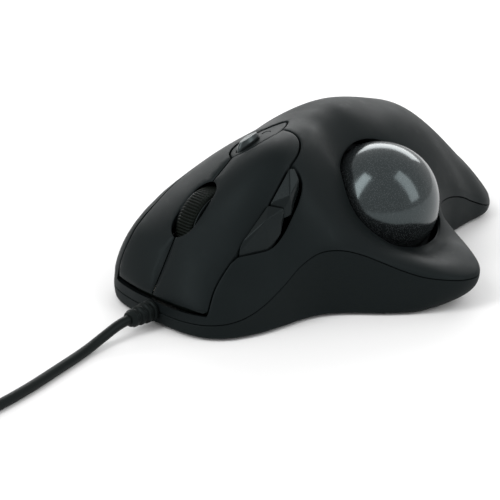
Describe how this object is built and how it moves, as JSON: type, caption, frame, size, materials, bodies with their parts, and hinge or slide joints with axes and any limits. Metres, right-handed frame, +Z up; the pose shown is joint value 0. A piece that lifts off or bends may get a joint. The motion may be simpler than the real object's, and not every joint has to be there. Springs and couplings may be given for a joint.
{
  "type": "trackball mouse",
  "caption": "Wired right-handed mouse with a thumb-operated ball in a side lobe, split main keys, scroll wheel, thumb keys and a resolution button.",
  "frame": {"origin": "on the desk, under the middle of the box round the mouse itself (cable, coil and plug left out)", "axes": "+Z up; +Y towards the front, where the cable leaves; -X towards the thumb lobe with the ball; the wheel turns in a plane across X"},
  "size_m": [0.1255, 0.2427, 0.0454],
  "materials": {
    "soft_black": "soft-touch matte",
    "base_black": "matte, lightly textured",
    "gloss_black": "glossy",
    "inner_black": "matte",
    "rubber": "matte",
    "ball_grey": "polished, fine speckle",
    "steel": "bright",
    "board_green": "solder mask",
    "chip": "matte",
    "lens": "clear red",
    "ivory": "satin",
    "lamp": "smoked"
  },
  "bodies": {
    "housing": {"top_cover": "soft_black", "base_shell": "base_black", "centre_panel": "gloss_black", "indicator_lamp": "lamp", "panel_board": "board_green", "sensor_board": "board_green", "main_board": "board_green", "thumb_bracket": "inner_black", "ball_cup": "inner_black", "board_rail_left": "inner_black", "board_rail_right": "inner_black", "panel_post": "inner_black", "screw_boss_1": "inner_black", "screw_boss_2": "inner_black", "screw_boss_3": "inner_black", "screw_boss_4": "inner_black", "switch_back": "chip", "switch_forward": "chip", "switch_left": "chip", "switch_right": "chip", "switch_wheel": "chip", "switch_dpi": "chip", "sensor_chip": "chip", "controller_chip": "chip", "cable_connector": "ivory", "foot_1": "rubber", "foot_2": "rubber", "foot_3": "rubber", "foot_4": "rubber", "strain_relief": "rubber", "cable": "rubber", "cable_coil": "rubber", "plug_grip": "rubber", "bearing_ball_1": "steel", "bearing_ball_2": "steel", "bearing_ball_3": "steel", "base_screw_1": "steel", "base_screw_2": "steel", "base_screw_3": "steel", "base_screw_4": "steel", "plug_shell": "steel", "sensor_window": "lens"},
    "left_button": {"left_key": "soft_black"},
    "right_button": {"right_key": "soft_black"},
    "resolution_button": {"dpi_button": "gloss_black"},
    "back_thumb_button": {"back_key": "gloss_black"},
    "forward_thumb_button": {"forward_key": "gloss_black"},
    "wheel_frame": {"wheel_cradle": "inner_black", "wheel_encoder": "inner_black"},
    "scroll_wheel": {"wheel_hub": "gloss_black", "wheel_tyre": "rubber", "wheel_axle": "steel"},
    "track_ball": {"ball": "ball_grey"},
    "plunger_back_pin": {"plunger_back": "ivory"},
    "plunger_forward_pin": {"plunger_forward": "ivory"},
    "plunger_left_pin": {"plunger_left": "ivory"},
    "plunger_right_pin": {"plunger_right": "ivory"},
    "plunger_wheel_pin": {"plunger_wheel": "ivory"},
    "plunger_dpi_pin": {"plunger_dpi": "ivory"}
  },
  "joints": [
    {"name": "left_button_press", "type": "hinge", "parent": "housing", "child": "left_button", "pos_m": [0.01199, 0.02107, 0.038], "axis": [-1, 0, 0], "range_deg": [0, 1.2], "stiffness_Nm_per_rad": 0.8, "springref_deg": -0.69},
    {"name": "right_button_press", "type": "hinge", "parent": "housing", "child": "right_button", "pos_m": [0.01199, 0.02107, 0.038], "axis": [-1, 0, 0], "range_deg": [0, 1.2], "stiffness_Nm_per_rad": 0.8, "springref_deg": -0.69},
    {"name": "resolution_button_press", "type": "slide", "parent": "housing", "child": "resolution_button", "axis": [0, 0, -1], "range_m": [0, 0.0005], "stiffness_N_per_m": 500, "springref_m": -0.0004},
    {"name": "back_thumb_button_press", "type": "slide", "parent": "housing", "child": "back_thumb_button", "axis": [0.35, 0, -0.9367], "range_m": [0, 0.0005], "stiffness_N_per_m": 500, "springref_m": -0.0004},
    {"name": "forward_thumb_button_press", "type": "slide", "parent": "housing", "child": "forward_thumb_button", "axis": [0.35, 0, -0.9367], "range_m": [0, 0.0005], "stiffness_N_per_m": 500, "springref_m": -0.0004},
    {"name": "wheel_click", "type": "hinge", "parent": "housing", "child": "wheel_frame", "pos_m": [0.01199, 0.03047, 0.0214], "axis": [-1, 0, 0], "range_deg": [0, 2], "stiffness_Nm_per_rad": 0.25, "springref_deg": -1.15},
    {"name": "wheel_scroll", "type": "hinge", "parent": "wheel_frame", "child": "scroll_wheel", "pos_m": [0.01199, 0.04437, 0.0217], "axis": [1, 0, 0], "continuous": true},
    {"name": "ball_roll", "type": "hinge", "parent": "housing", "child": "track_ball", "pos_m": [-0.00851, -0.00333, 0.021], "axis": [0.7021, 0, 0.7121], "continuous": true},
    {"name": "plunger_left_travel", "type": "slide", "parent": "housing", "child": "plunger_left_pin", "axis": [0, 0, -1], "range_m": [0, 0.00072]},
    {"name": "plunger_right_travel", "type": "slide", "parent": "housing", "child": "plunger_right_pin", "axis": [0, 0, -1], "range_m": [0, 0.00072]},
    {"name": "plunger_dpi_travel", "type": "slide", "parent": "housing", "child": "plunger_dpi_pin", "axis": [0, 0, -1], "range_m": [0, 0.0005]},
    {"name": "plunger_wheel_travel", "type": "slide", "parent": "housing", "child": "plunger_wheel_pin", "axis": [0, 0, -1], "range_m": [0, 0.0004]},
    {"name": "plunger_back_travel", "type": "slide", "parent": "housing", "child": "plunger_back_pin", "axis": [0.8398, 0, -0.5429], "range_m": [0, 0.00042]},
    {"name": "plunger_forward_travel", "type": "slide", "parent": "housing", "child": "plunger_forward_pin", "axis": [0.8398, 0, -0.5429], "range_m": [0, 0.00042]}
  ],
  "couplings": [
    {"joint": "plunger_left_travel", "follows": "left_button_press", "m_per_rad": 0.033},
    {"joint": "plunger_right_travel", "follows": "right_button_press", "m_per_rad": 0.033},
    {"joint": "plunger_dpi_travel", "follows": "resolution_button_press", "ratio": 1},
    {"joint": "plunger_wheel_travel", "follows": "wheel_click", "m_per_rad": 0.011},
    {"joint": "plunger_back_travel", "follows": "back_thumb_button_press", "ratio": 0.8},
    {"joint": "plunger_forward_travel", "follows": "forward_thumb_button_press", "ratio": 0.8}
  ]
}
